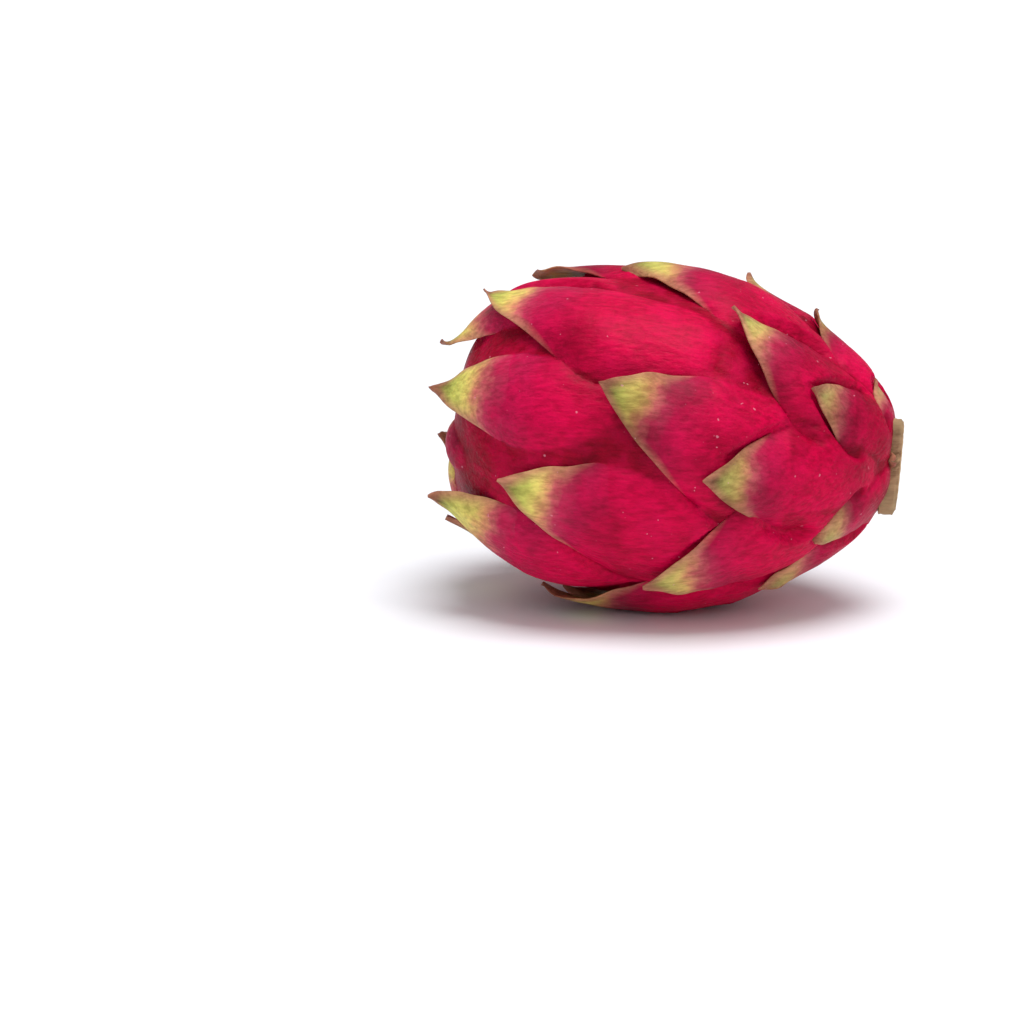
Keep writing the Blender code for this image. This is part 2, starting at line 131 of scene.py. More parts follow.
# The shape of a scale
SCALE_WIDTH = 0.42  # half its width at the widest, as a share of the body's radius there
SLENDER = 1.75  # a flap's length over half its width
BASE_LENGTH = 2.1  # from the widest place back to the cushion's start, in half-widths
CUSHION_HEIGHT = 3.7 * MM
LEAN = 0.18  # sideways over lengthways, where a flap swings round towards its tip
SHORTEST_AT_NAVEL = 17.0 * MM  # flap length that the small scales round the navel keep
FREE_TIP = 0.55  # share of the flap that stands free along its middle
FLAP_ROOT = 0.22  # share of the flap's length sunk back into its cushion
ROOT_SINKS = 2.5 * MM
ROOT_THICKNESS = 2.0 * MM
EDGE_THICKNESS = 0.9 * MM
TIP_HALF_WIDTH = 0.8 * MM
CURL = 44.0  # radians per metre that a tip turns away from the rind
CURL_VARIES = 18.0
CURL_AT_STALK = 20.0
CURL_AT_NAVEL = 14.0
CURL_UNDERNEATH = -40.0
MARGIN_WAVE = 0.35 * MM
FLAP_CLEARANCE = 0.35 * MM  # between a flap and the next cushion under it
ROOM_SLOPE = 1.3  # how steeply the next cushion may rise outside a flap's margin
FADES_TO_STALK = 9.0 * MM  # the relief fades out over this length at each end
FADES_TO_NAVEL = 12.0 * MM

# What the skin's colour follows reaches this far
COLOURED_LENGTH = 50.0 * MM  # from a scale's tip
COLOURED_RIM = 10.0 * MM  # from its margin

# How finely the rind and each flap are cut
RIND_AROUND = 250
RIND_ALONG = 190
FLAP_ALONG = 30
FLAP_ACROSS = 20


def smooth(x):
    """0 below 0, 1 above 1, and an even S between."""
    x = np.clip(x, 0.0, 1.0)
    return x * x * (3 - 2 * x)


def body_outline(count=1601):
    """The body's outline, blunt at the blossom end and tapered at the stalk end: the distance
    along it, x, radius and heading."""
    share = np.cos(np.linspace(0.0, math.pi, count))
    stalk = share > 0
    blunt = np.where(stalk, STALK_ROUND[0], BLOSSOM_ROUND[0])
    full = np.where(stalk, STALK_ROUND[1], BLOSSOM_ROUND[1])
    round_end = (1 - np.abs(share) ** blunt).clip(0) ** (1 / full)
    radius = BODY_RADIUS * round_end * (1 - STALK_TAPER * share * smooth(share / 0.4))
    x = np.where(stalk, HALF_TO_STALK, HALF_TO_BLOSSOM) * share
    x -= np.where(stalk, PIT_DEPTH * np.exp(-((radius / PIT_RADIUS) ** 2)), 0)
    x += np.where(stalk, 0, NAVEL_DEPTH * np.exp(-((radius / NAVEL_RADIUS) ** 2)))
    along = np.concatenate([[0.0], np.cumsum(np.hypot(np.diff(x), np.diff(radius)))])
    heading = np.unwrap(np.arctan2(np.gradient(radius), np.gradient(x)))
    return along, x, radius, heading


ALONG, OUTLINE_X, OUTLINE_R, HEADING = body_outline()
RIND_LENGTH = ALONG[-1]


def on_outline(u):
    """x, radius and heading of the body at the distance u from the stalk's pole."""
    return tuple(np.interp(u, ALONG, values) for values in (OUTLINE_X, OUTLINE_R, HEADING))


def scale_list():
    """Every scale's place in the spiral, its sizes and its curl. Its tip and its angle go up in even
    steps with its number, and seeded draws vary the rest a little."""
    draw = np.random.default_rng(SCALE_SEED)
    looks = np.random.default_rng(SCALE_SEED + 1)
    scales = []
    for number in range(FIRST_SCALE, LAST_SCALE + 1):
        along, around = SHIFTED.get(number, (0.0, 0.0))
        wobble = draw.uniform(-1, 1, 4)
        even = min(number, CROWDED_FROM)
        tip = TIP_STATION + STATION_STEP * even + CROWDED_STEP * (number - even) + along
        angle = SPIRAL_START + DIVERGENCE * number + math.radians(around)
        early = float(smooth((50 * MM - tip) / (30 * MM)))
        late = float(smooth((tip - 112 * MM) / (30 * MM)))
        slender = SLENDER - 0.4 * early + 0.6 * late
        # The widest place is found from the tip by stepping back until the sizes agree.
        width = 10 * MM
        for _ in range(30):
            crown = max(tip - max(slender * width, SHORTEST_AT_NAVEL * late), 0.4 * tip)
            full_width = SCALE_WIDTH * on_outline(crown)[1] * (1 + 0.05 * wobble[0]) + 0.5 * MM
            width = 0.5 * (width + full_width * (1 - 0.15 * late))
        # A scale under the fruit is pressed flat, but for the small ones at its ends.
        pressed = float(smooth((-math.sin(angle) - 0.6) / 0.25)) * (1 - late)
        pressed *= float(smooth((tip - 40 * MM) / (15 * MM)))
        lifted = LIFTED.get(number, 1.0)
        curl = CURL + CURL_VARIES * wobble[1] + CURL_AT_STALK * early + CURL_AT_NAVEL * late
        scales.append(
            {
                "crown": crown,
                "angle": angle,
                "girth": on_outline(crown)[1],
                "half_width": width,
                "flap": tip - crown,
                "base": BASE_LENGTH * width,
                "height": CUSHION_HEIGHT * min(1.0, width / (14 * MM)) * (1 + 0.12 * wobble[2]),
                "lean": LEANING.get(number, LEAN * (1 + 0.3 * wobble[3])),
                "curl": curl * lifted * (1 - pressed) + CURL_UNDERNEATH * pressed,
                "straight": min(1.0, (0.35 + 0.65 * late) * max(lifted, 0.0)) * (1 - pressed),
                "curls_from": 0.4 - 0.25 * float(smooth(lifted - 2)) * (1 - late),
                "hook": HOOKED.get(number, 0.0),
                "green": 1.25 * tip / RIND_LENGTH - 0.05 + looks.uniform(0, 0.25),
                "phase": looks.uniform(0, 2 * math.pi, 3),
                "gutter": looks.uniform(-0.3, 1.6) * MM,
                "twist": looks.uniform(-0.6, 0.6),
                "fading": (24 * MM / (tip - crown)) ** 0.5 * (1 - 0.3 * late),
            }
        )
    return scales


def middle_angle(scale, p):
    """The angle round the fruit of the scale's middle line, p past its widest place: it slants
    under the flap, and runs straight again behind it."""
    slant = 0.25 * scale["base"]
    back = slant * (1 - np.exp(np.minimum(p, 0.0) / slant))
    run = scale["flap"] - np.maximum(p, 0.0) + back
    return scale["angle"] - scale["lean"] * run / scale["girth"]


def half_width(scale, p):
    """Half the scale's width: it narrows a little to its root, and before its widest place is a
    triangle with bulging sides and a small blunt tip."""
    root = 1 - 0.5 * (np.minimum(p, 0.0) / scale["base"]) ** 2
    to_tip = np.clip(1 - p / scale["flap"], 0.0, 1.0)
    front = 1 - (1 - to_tip) ** 1.2
    width = np.maximum(scale["half_width"] * np.where(p < 0, root, front), TIP_HALF_WIDTH)
    return width * (to_tip * scale["flap"] / (1.2 * MM)).clip(0.06, 1.0) ** 0.5


def top_height(scale, p, q):
    """Height of the scale's outer face over the body, p past its widest place and q to its side:
    a domed cushion that flattens into a blade towards the tip."""
    behind = np.clip(1 + p / scale["base"], 0.0, 1.0)
    rise = np.where(p < 0, np.sin(0.5 * math.pi * behind) ** 0.9, 1 + 0.3 * p / scale["flap"])
    flatten = 1 - 0.8 * smooth(p / (0.9 * scale["flap"]))
    return scale["height"] * rise * (1 - np.abs(q / half_width(scale, p)) ** 2.4 * flatten)


def thickness(scale, p, q):
    """The flap's thickness: fleshy along the middle of its root, falling in an even S to its thin
    margins and tip."""
    middle = smooth(1 - np.abs(q) / half_width(scale, p)) ** 0.5
    inward = smooth((scale["flap"] - p) / (0.8 * scale["flap"]))
    root = ROOT_THICKNESS * min(1.0, 0.45 + scale["half_width"] / (25 * MM))
    return EDGE_THICKNESS + (root - EDGE_THICKNESS) * middle * inward


def from_tip(scale, p, q):
    """Distance from the scale's tip along the slanting scale, stretched by its fading: a short
    scale goes through the same colours as a long one, sooner."""
    slant = math.atan(scale["lean"])
    distance = (scale["flap"] - p) / math.cos(slant) - q * math.sin(slant)
    return distance * scale["fading"]


def cushion(scale, u, angle, radius):
    """Height that one scale gives the rind: its whole outer face behind its widest place, and
    before it what fills the space under the flap, in from the margin and behind the free tip."""
    p = u - scale["crown"]
    q = radius * np.angle(np.exp(1j * (angle - middle_angle(scale, p))))
    outer = np.maximum(top_height(scale, p, q), 0.0)
    sunk = smooth(p / (0.3 * scale["flap"]))
    leaving = smooth(p / (0.45 * scale["flap"]))
    inside_margin = smooth((half_width(scale, p) - np.abs(q) - 1.0 * MM) / (2.4 * MM))
    behind_tip = smooth((scale["flap"] * (1 - FREE_TIP) - p) / (3.0 * MM))
    cover = 0.05 * MM * smooth(outer / MM)
    height = outer + cover * (1 - sunk) - 0.5 * thickness(scale, p, q) * sunk
    height = np.maximum(height, 0.0) * (1 - leaving + leaving * inside_margin * behind_tip)
    height = np.where((p > -scale["base"]) & (p < scale["flap"]), height, 0.0)
    return height, from_tip(scale, np.minimum(p, 0.0), q)


def room_under(scale, u, angle, radius):
    """The most height that other scales may reach near this one: up to its flap's inner face, or
    to its cushion beside its widest place, and steeply more outside its margin and further back."""
    p = u - scale["crown"]
    q = radius * np.angle(np.exp(1j * (angle - middle_angle(scale, p))))
    near = np.clip(p, -0.7 * scale["flap"], scale["flap"])
    width = half_width(scale, near)
    inside = np.clip(q, -width, width)
    guide_p, guide_x, guide_r, _ = flap_guide(scale)
    body_x, body_r, body_heading = on_outline(scale["crown"] + guide_p)
    lift = (guide_x - body_x) * np.sin(body_heading) - (guide_r - body_r) * np.cos(body_heading)
    gap = thickness(scale, near, inside) + FLAP_CLEARANCE
    under = top_height(scale, near, inside) - gap * smooth(p / (0.15 * scale["flap"]))
    under = np.maximum(under + np.interp(near, guide_p, lift), 0.0)
    outside = np.maximum(np.abs(q) - width, 0.0) + np.maximum(p - scale["flap"], 0.0)
    behind = 6 * MM * smooth((-p / scale["flap"] - 0.15) / 0.55)
    return np.where(p > -0.7 * scale["flap"], under + ROOM_SLOPE * outside + behind, 1.0)


def lay_down(x, radius, angle):
    """A point of the fruit's own axis, radius and angle, as the fruit lies: angle 0 faces -Y, a
    quarter turn faces up, and the axis tips down to the stalk, where it bends up a little."""
    z = radius * np.sin(angle) + STALK_RISE * smooth((x - RISE_FROM) / RISE_RUN)
    return np.stack(
        [
            x * math.cos(TILT) + z * math.sin(TILT) + AXIS_X,
            -radius * np.cos(angle),
            z * math.cos(TILT) - x * math.sin(TILT) + AXIS_HEIGHT,
        ],
        axis=-1,
    )


def ripples(x, radius, angle):
    """Low swells of the skin: three crossed waves through space, 10 to 30 mm long and a few tenths
    of a millimetre high."""
    y = radius * np.cos(angle)
    z = radius * np.sin(angle)
    long_wave = np.sin(x / (4.6 * MM) + 1.7 * np.sin(y / (5.5 * MM)) + z / (9.0 * MM))
    side_wave = np.sin(z / (2.6 * MM) + 1.3 * np.sin(x / (7.0 * MM)) + y / (3.4 * MM))
    cross_wave = np.sin((x - y) / (2.3 * MM) + 2.0 + np.sin(z / (4.0 * MM)))
    return (0.14 * long_wave + 0.13 * side_wave + 0.07 * cross_wave) * MM


def zone_colors(tip_distance, rim, clear_of_crease_shade, green):
    """What the skin's colour follows, each from 0 to 1 in a channel of one colour: distance from
    the scale's tip, from its margin, height out of the crease between scales, which sets the painted
    shade in the creases, and greenness."""
    values = np.broadcast_arrays(tip_distance / COLOURED_LENGTH, rim / COLOURED_RIM, clear_of_crease_shade, green)
    return np.stack(values, axis=-1).clip(0, 1)


def mesh_of(name, points, faces, zones):
    """A mesh from arrays of points, of faces (three or four corners) and of zone colours."""
    mesh = bpy.data.meshes.new(name)
    mesh.from_pydata(points.tolist(), [], faces)
    layer = mesh.color_attributes.new("zones", "FLOAT_COLOR", "CORNER")
    corner = np.empty(len(mesh.loops), np.int32)
    mesh.loops.foreach_get("vertex_index", corner)
    layer.data.foreach_set("color", zones[corner].astype(np.float32).ravel())
    mesh.update()
    return mesh


def grid_faces(rows, columns, closed=False):
    """The faces of a grid of points, rows by columns, closed round its columns if asked."""
    number = np.arange(rows * columns).reshape(rows, columns)
    if closed:
        number = np.concatenate([number, number[:, :1]], axis=1)
    corners = [number[:-1, :-1], number[:-1, 1:], number[1:, 1:], number[1:, :-1]]
    return np.stack(corners, axis=-1).reshape(-1, 4)


def rind_mesh(scales):
    """The body turned from its outline and pushed out by its cushions, which join in soft valleys
    as the tenth root of the sum of their tenth powers. The poles are closed by triangles."""
    u = np.linspace(0, RIND_LENGTH, RIND_ALONG + 1)[1:-1, None]
    angle = np.linspace(0, 2 * math.pi, RIND_AROUND, endpoint=False)[None, :]
    x, radius, heading = on_outline(u)
    total = np.zeros((u.size, angle.size))
    first = np.zeros_like(total)
    second = np.zeros_like(total)
    distance = np.full_like(total, COLOURED_LENGTH)
    green = np.full_like(total, 0.5)
    tightest = np.full_like(total, 1.0)
    next_tightest = np.full_like(total, 1.0)
    holder = np.full(total.shape, -1)
    # The two least rooms at each point, and whose flap holds the least: its own cushion goes by the
    # other one.
    for number, scale in enumerate(scales):
        room = room_under(scale, u, angle, radius)
        next_tightest = np.minimum(next_tightest, np.maximum(tightest, room))
        holder = np.where(room < tightest, number, holder)
        tightest = np.minimum(tightest, room)
    # The highest cushion at each point gives the colours, and how far it stands above the second
    #     highest sets the painted shade in the creases.
    for number, scale in enumerate(scales):
        height, to_tip = cushion(scale, u, angle, radius)
        height = np.minimum(height, np.where(holder == number, next_tightest, tightest))
        total += (height / MM) ** 10
        wins = height > first
        second = np.maximum(second, np.minimum(first, height))
        first = np.maximum(first, height)
        distance = np.where(wins, to_tip, distance)
        green = np.where(wins, scale["green"], green)
    fade = smooth(u / FADES_TO_STALK) * smooth((RIND_LENGTH - u) / FADES_TO_NAVEL)
    height = total**0.1 * MM * fade + ripples(x, radius, angle) * fade
    out_x = x + height * np.sin(heading)
    out_radius = radius - height * np.cos(heading)
    points = lay_down(out_x, out_radius, angle + 0 * u)
    # Painted shade: the skin's colour is darkened in the creases, where a cushion stands little
    # above the next one, and where it stands low over the body.
    clear_of_crease_shade = 0.8 * smooth((first - second) / (0.9 * MM)) + 0.2 * smooth(first / (1.5 * MM))
    zones = zone_colors(distance, COLOURED_RIM, clear_of_crease_shade, green)
    ends = lay_down(OUTLINE_X[[0, -1]], np.zeros(2), np.zeros(2))
    count = u.size * angle.size
    points = np.concatenate([points.reshape(-1, 3), ends])
    zones = np.concatenate([zones.reshape(-1, 4), zones[[0, -1], 0]])
    stalk_ring = np.arange(RIND_AROUND)
    navel_ring = stalk_ring + count - RIND_AROUND
    pole = np.full(RIND_AROUND, count)
    caps = [
        np.stack([pole, np.roll(stalk_ring, -1), stalk_ring], axis=-1),
        np.stack([pole + 1, navel_ring, np.roll(navel_ring, -1)], axis=-1),
    ]
    faces = grid_faces(u.size, angle.size, closed=True).tolist() + np.concatenate(caps).tolist()
    return mesh_of("rind", points, faces, zones)


def flap_guide(scale, count=240):
    """The line under a flap's middle: along the body at first, then straighter than it, then
    curling away from it towards the tip, as its heading summed along its length."""
    p = np.linspace(-FLAP_ROOT * scale["flap"], scale["flap"], count)
    step = p[1] - p[0]
    x, radius, heading = on_outline(scale["crown"] + p)
    leaves = 0.3 * scale["flap"]
    free = smooth((p - leaves) / (0.35 * scale["flap"]))
    near_tip = smooth((p / scale["flap"] - scale["curls_from"]) / (1 - scale["curls_from"]))
    turn = np.gradient(heading, p)
    turn = turn * (1 - scale["straight"] * free) - scale["curl"] * near_tip
    turn -= scale["hook"] * smooth((p / scale["flap"] - 0.7) / 0.2)
    first = int(np.argmax(p >= leaves))
    heading[first + 1 :] = heading[first] + np.cumsum(turn[first:-1]) * step
    x[first + 1 :] = x[first] + np.cumsum(np.cos(heading[first:-1])) * step
    radius[first + 1 :] = radius[first] + np.cumsum(np.sin(heading[first:-1])) * step
    return p, x, radius, heading


def flap_mesh(scale, name):
    """One flap as a closed blade. Both faces stand off its guide by the scale's height, less or
    more than half its thickness, which rounds off to nothing at the margin. Towards the tip the
    margins ripple in crossed waves 6 to 16 mm long, the middle sinks to a gutter, and it twists."""
    s = np.linspace(0, 1, FLAP_ALONG + 1)[:, None]
    t = np.sin(0.5 * math.pi * np.linspace(-1, 1, FLAP_ACROSS + 1))[None, :]
    p = scale["flap"] * (s * (1 + FLAP_ROOT) - FLAP_ROOT)
    free = smooth(p / (0.7 * scale["flap"]))
    a, b, c = scale["phase"]
    uneven = 1 + 0.035 * free * np.sin(p / (2.3 * MM) + b + 0.8 * np.sign(t))
    q = t * half_width(scale, p) * uneven
    guide_p, guide_x, guide_r, guide_heading = flap_guide(scale)
    x = np.interp(p, guide_p, guide_x)
    radius = np.interp(p, guide_p, guide_r)
    heading = np.interp(p, guide_p, guide_heading)
    angle = middle_angle(scale, p) + q / np.maximum(radius, 6 * MM)
    wave = np.abs(t) ** 3 * np.sin(p / (1.5 * MM) + a + 1.2 * np.sign(t))
    wave = wave + 0.6 * np.sin(p / (2.6 * MM) + b) * t
    wave = wave + 0.25 * np.sin(q / (0.9 * MM) + c) * (1 - t**2)
    top = top_height(scale, p, q / uneven) + ripples(x, radius, angle) * (1 - free)
    top = top - ROOT_SINKS * smooth(-p / (FLAP_ROOT * scale["flap"]))
    near_tip = smooth((p / scale["flap"] - 0.4) / 0.6)
    top = top + free * (MARGIN_WAVE * wave + scale["gutter"] * t**2) + near_tip * scale["twist"] * q
    thick = thickness(scale, p, q / uneven)
    rounding = (1 - t**2).clip(0.004) ** 0.25 * (1 - s**8).clip(0.02) ** 0.3
    layers = []
    for side in (0.5, -0.5):
        height = top - 0.5 * thick + side * thick * rounding
        place = lay_down(x + height * np.sin(heading), radius - height * np.cos(heading), angle)
        layers.append(place.reshape(-1, 3))
    rooted = 1 - smooth((p / scale["flap"] - 0.05) / 0.4)
    rim = half_width(scale, p) * uneven - np.abs(q) + 4 * MM * rooted
    tip_distance = from_tip(scale, p, q)
    outside = zone_colors(tip_distance, rim, 1.0, scale["green"]).reshape(-1, 4)
    inside = zone_colors(0.8 * tip_distance, 0.5 * rim, 1.0, scale["green"]).reshape(-1, 4)
    rows, columns = q.shape
    number = np.arange(rows * columns).reshape(rows, columns)
    edge = np.concatenate([number[0, :-1], number[:-1, -1], number[-1, :0:-1], number[:0:-1, 0]])
    after = np.roll(edge, -1)
    walls = np.stack([after, edge, edge + number.size, after + number.size], axis=-1)
    outer = grid_faces(rows, columns)
    inner = outer[:, ::-1] + number.size
    faces = np.concatenate([outer, inner, walls]).tolist()
    return mesh_of(name, np.concatenate(layers), faces, np.concatenate([outside, inside]))


def face_outwards(mesh):
    """Turns every face of a closed mesh the same way, out."""
    bm = bmesh.new()
    bm.from_mesh(mesh)
    bmesh.ops.recalc_face_normals(bm, faces=bm.faces)
    bm.to_mesh(mesh)
    bm.free()


def join_by_boolean(piece, others, operation):
    """Applies one Boolean of the piece with a collection of others, which are then removed."""
    modifier = piece.modifiers.new(operation.lower(), "BOOLEAN")
    modifier.operation = operation
    modifier.operand_type = "COLLECTION"
    modifier.collection = others
    modifier.solver = "MANIFOLD"
    graph = bpy.context.evaluated_depsgraph_get()
    joined = bpy.data.meshes.new_from_object(piece.evaluated_get(graph))
    piece.modifiers.clear()
    piece.data = joined
    for other in list(others.objects):
        bpy.data.objects.remove(other)
    bpy.data.collections.remove(others)


def collection_of(name, meshes):
    """A new collection in the scene that holds one object for each mesh."""
    made = bpy.data.collections.new(name)
    bpy.context.scene.collection.children.link(made)
    for mesh in meshes:
        made.objects.link(bpy.data.objects.new(mesh.name, mesh))
    return made


scales = scale_list()
rind_surface = rind_mesh(scales)
flap_surfaces = [flap_mesh(scale, f"flap_{i}") for i, scale in enumerate(scales)]
for surface in [rind_surface] + flap_surfaces:
    face_outwards(surface)
rind = bpy.data.objects.new("rind_and_scales", rind_surface)
bpy.context.scene.collection.objects.link(rind)
join_by_boolean(rind, collection_of("flaps", flap_surfaces), "UNION")

# Its weight presses the rind flat where it rests, so what would reach below the table is cut off.
table_block = bpy.data.meshes.new("table_block")
block_corners = [(x, y, z) for x in (-0.1, 0.1) for y in (-0.1, 0.1) for z in (-0.1, 0.0)]
block_faces = [(0, 1, 3, 2), (4, 6, 7, 5), (0, 4, 5, 1), (2, 3, 7, 6), (0, 2, 6, 4), (1, 5, 7, 3)]
table_block.from_pydata(block_corners, [], block_faces)
face_outwards(table_block)
join_by_boolean(rind, collection_of("blocks", [table_block]), "DIFFERENCE")
rind.data.shade_smooth()
rind.data.set_sharp_from_angle(angle=math.radians(60))

# Sizes of the patterns in the skin, as so many to a millimetre. The real fibres are 0.2 mm wide, too
# fine to show in the picture, so they are drawn 1.1 mm wide. The pale specks, partly wax specks and
# partly painted glints of highlight, are the narrow peaks, about 0.5 mm wide, of a noise of 1.3 mm.
FIBRES_PER_MM = 0.9
SPECKS_AND_GLINTS_PER_MM = 0.76
MOTTLES_PER_MM = 0.13
PATCHES_PER_MM = 0.045


def linear(hex_color):
    """An sRGB hex colour as linear red, green, blue and alpha."""
    values = [int(hex_color[i : i + 2], 16) / 255 for i in (1, 3, 5)]
    curved = [v / 12.92 if v <= 0.04045 else ((v + 0.055) / 1.055) ** 2.4 for v in values]
    return (*curved, 1.0)


def add_node(tree, kind, inputs=None, stops=(), **settings):
    """Adds a node with its settings, and sets or links its inputs. A ramp also gets its stops, as
    positions and colours."""
    node = tree.nodes.new(kind)
    for name, value in settings.items():
        setattr(node, name, value)
    for name, value in (inputs or {}).items():
        if isinstance(value, bpy.types.NodeSocket):
            tree.links.new(value, node.inputs[name])
        else:
            node.inputs[name].default_value = value
    for number, (position, hex_color) in enumerate(stops):
        elements = node.color_ramp.elements
        if number == 0:
            elements.remove(elements[1])
            elements[0].position = position
            elements[0].color = linear(hex_color)
        else:
            elements.new(position).color = linear(hex_color)
    return node


def new_material(name):
    """A new Principled material: itself, its tree of nodes and its shader."""
    made = bpy.data.materials.new(name)
    made.use_nodes = True
    return made, made.node_tree, made.node_tree.nodes["Principled BSDF"]


def waxy_rind():
    """Fruit skin under a thin wax bloom, so satin rather than glossy: crimson cushions, dusky pink
    where each flap starts, then yellow and green, then dry brown at its tip. Scales at the stalk
    end are drier and less green."""
    made, tree, shader = new_material("waxy_fruit_rind")
    zones = add_node(tree, "ShaderNodeVertexColor", layer_name="zones")
    split = add_node(tree, "ShaderNodeSeparateColor", {"Color": zones.outputs["Color"]})
    place = add_node(tree, "ShaderNodeTexCoord").outputs["Object"]
    mapping = add_node(tree, "ShaderNodeMapping", {"Vector": place, "Scale": (0.3, 1.0, 1.0)})
    # Fibres run along the fruit, three times as long as wide.
    fibres = add_node(
        tree,
        "ShaderNodeTexNoise",
        {
            "Vector": mapping.outputs["Vector"],
            "Scale": FIBRES_PER_MM / MM,
            "Detail": 4.0,
            "Roughness": 0.6,
        },
    )
    # The wax mottles the skin over 8 mm, and its red deepens in patches of 22 mm.
    mottle = add_node(
        tree,
        "ShaderNodeTexNoise",
        {"Vector": place, "Scale": MOTTLES_PER_MM / MM, "Detail": 6.0, "Roughness": 0.62},
    )
    patches = add_node(
        tree,
        "ShaderNodeTexNoise",
        {"Vector": place, "Scale": PATCHES_PER_MM / MM, "Detail": 3.0, "Roughness": 0.55},
    )
    # Distance from the tip, made uneven by the mottle, picks the colour: 0.1 is 5 mm.
    uneven = add_node(
        tree,
        "ShaderNodeMath",
        {0: mottle.outputs["Fac"], 1: 0.16, 2: split.outputs["Red"]},
        operation="MULTIPLY_ADD",
    )
    distance = add_node(
        tree, "ShaderNodeMath", {0: uneven.outputs[0], 1: 0.09}, operation="SUBTRACT"
    )
    green_scale = add_node(
        tree,
        "ShaderNodeValToRGB",
        {"Fac": distance.outputs[0]},
        stops=[
            (0.00, "#2c1e16"),
            (0.04, "#64532f"),
            (0.085, "#aeb056"),
            (0.13, "#d4d268"),
            (0.18, "#ead672"),
            (0.22, "#e4a870"),
            (0.26, "#d06a6a"),
            (0.30, "#bc3456"),
            (0.36, "#bc164a"),
            (0.46, "#ca0644"),
            (0.56, "#d00242"),
        ],
    )
    dry_scale = add_node(
        tree,
        "ShaderNodeValToRGB",
        {"Fac": distance.outputs[0]},
        stops=[
            (0.00, "#33221a"),
            (0.04, "#7c5f46"),
            (0.10, "#b2966c"),
            (0.17, "#b57a6a"),
            (0.24, "#b2505e"),
            (0.32, "#ae1440"),
            (0.56, "#ca023e"),
        ],
    )
    along = add_node(
        tree,
        "ShaderNodeMix",
        {
            0: zones.outputs["Alpha"],
            6: dry_scale.outputs["Color"],
            7: green_scale.outputs["Color"],
        },
        data_type="RGBA",
    )
    # The last 3 mm of a flap's margins are drier, down to where the flap leaves its cushion.
    on_margin = add_node(
        tree,
        "ShaderNodeMapRange",
        {
            "Value": split.outputs["Green"],
            "From Min": 0.04,
            "From Max": 0.30,
            "To Min": 0.8,
            "To Max": 0.0,
        },
    )
    near_tip = add_node(
        tree,
        "ShaderNodeMapRange",
        {
            "Value": split.outputs["Red"],
            "From Min": 0.35,
            "From Max": 0.65,
            "To Min": 1.0,
            "To Max": 0.0,
        },
    )
    margin = add_node(
        tree,
        "ShaderNodeMath",
        {0: on_margin.outputs["Result"], 1: near_tip.outputs["Result"]},
        operation="MULTIPLY",
    )
    edged = add_node(
        tree,
        "ShaderNodeMix",
        {0: margin.outputs[0], 6: along.outputs[2], 7: linear("#c8866c")},
        data_type="RGBA",
    )
    # Creases between scales are darkened with painted shade, and the fibres are deeper in colour.
    painted_crease_shade = add_node(
        tree,
        "ShaderNodeValToRGB",
        {"Fac": split.outputs["Blue"]},
        stops=[(0.0, "#c89cb0"), (0.6, "#ffffff")],
    )
    shaded = add_node(
        tree,
        "ShaderNodeMix",
        {0: 1.0, 6: edged.outputs[2], 7: painted_crease_shade.outputs["Color"]},
        data_type="RGBA",
        blend_type="MULTIPLY",
    )
    fibre_tone = add_node(
        tree,
        "ShaderNodeValToRGB",
        {"Fac": fibres.outputs["Fac"]},
        stops=[(0.35, "#9c9088"), (0.62, "#ffffff")],
    )
    lined = add_node(
        tree,
        "ShaderNodeMix",
        {0: 0.5, 6: shaded.outputs[2], 7: fibre_tone.outputs["Color"]},
        data_type="RGBA",
        blend_type="MULTIPLY",
    )
    # The wax bloom lies on the red parts only.
    bloom_mask = add_node(
        tree,
        "ShaderNodeMapRange",
        {"Value": mottle.outputs["Fac"], "From Min": 0.45, "From Max": 0.75, "To Max": 0.5},
    )
    on_red = add_node(
        tree,
        "ShaderNodeMapRange",
        {"Value": distance.outputs[0], "From Min": 0.24, "From Max": 0.38},
    )
    bloom = add_node(
        tree,
        "ShaderNodeMath",
        {0: bloom_mask.outputs["Result"], 1: on_red.outputs["Result"]},
        operation="MULTIPLY",
    )
    dusted = add_node(
        tree,
        "ShaderNodeMix",
        {0: bloom.outputs[0], 6: lined.outputs[2], 7: linear("#e40c54")},
        data_type="RGBA",
    )
    patch_tone = add_node(
        tree,
        "ShaderNodeValToRGB",
        {"Fac": patches.outputs["Fac"]},
        stops=[(0.32, "#b4a8a4"), (0.55, "#ffffff")],
    )
    patched = add_node(
        tree,
        "ShaderNodeMix",
        {0: 0.8, 6: dusted.outputs[2], 7: patch_tone.outputs["Color"]},
        data_type="RGBA",
        blend_type="MULTIPLY",
    )
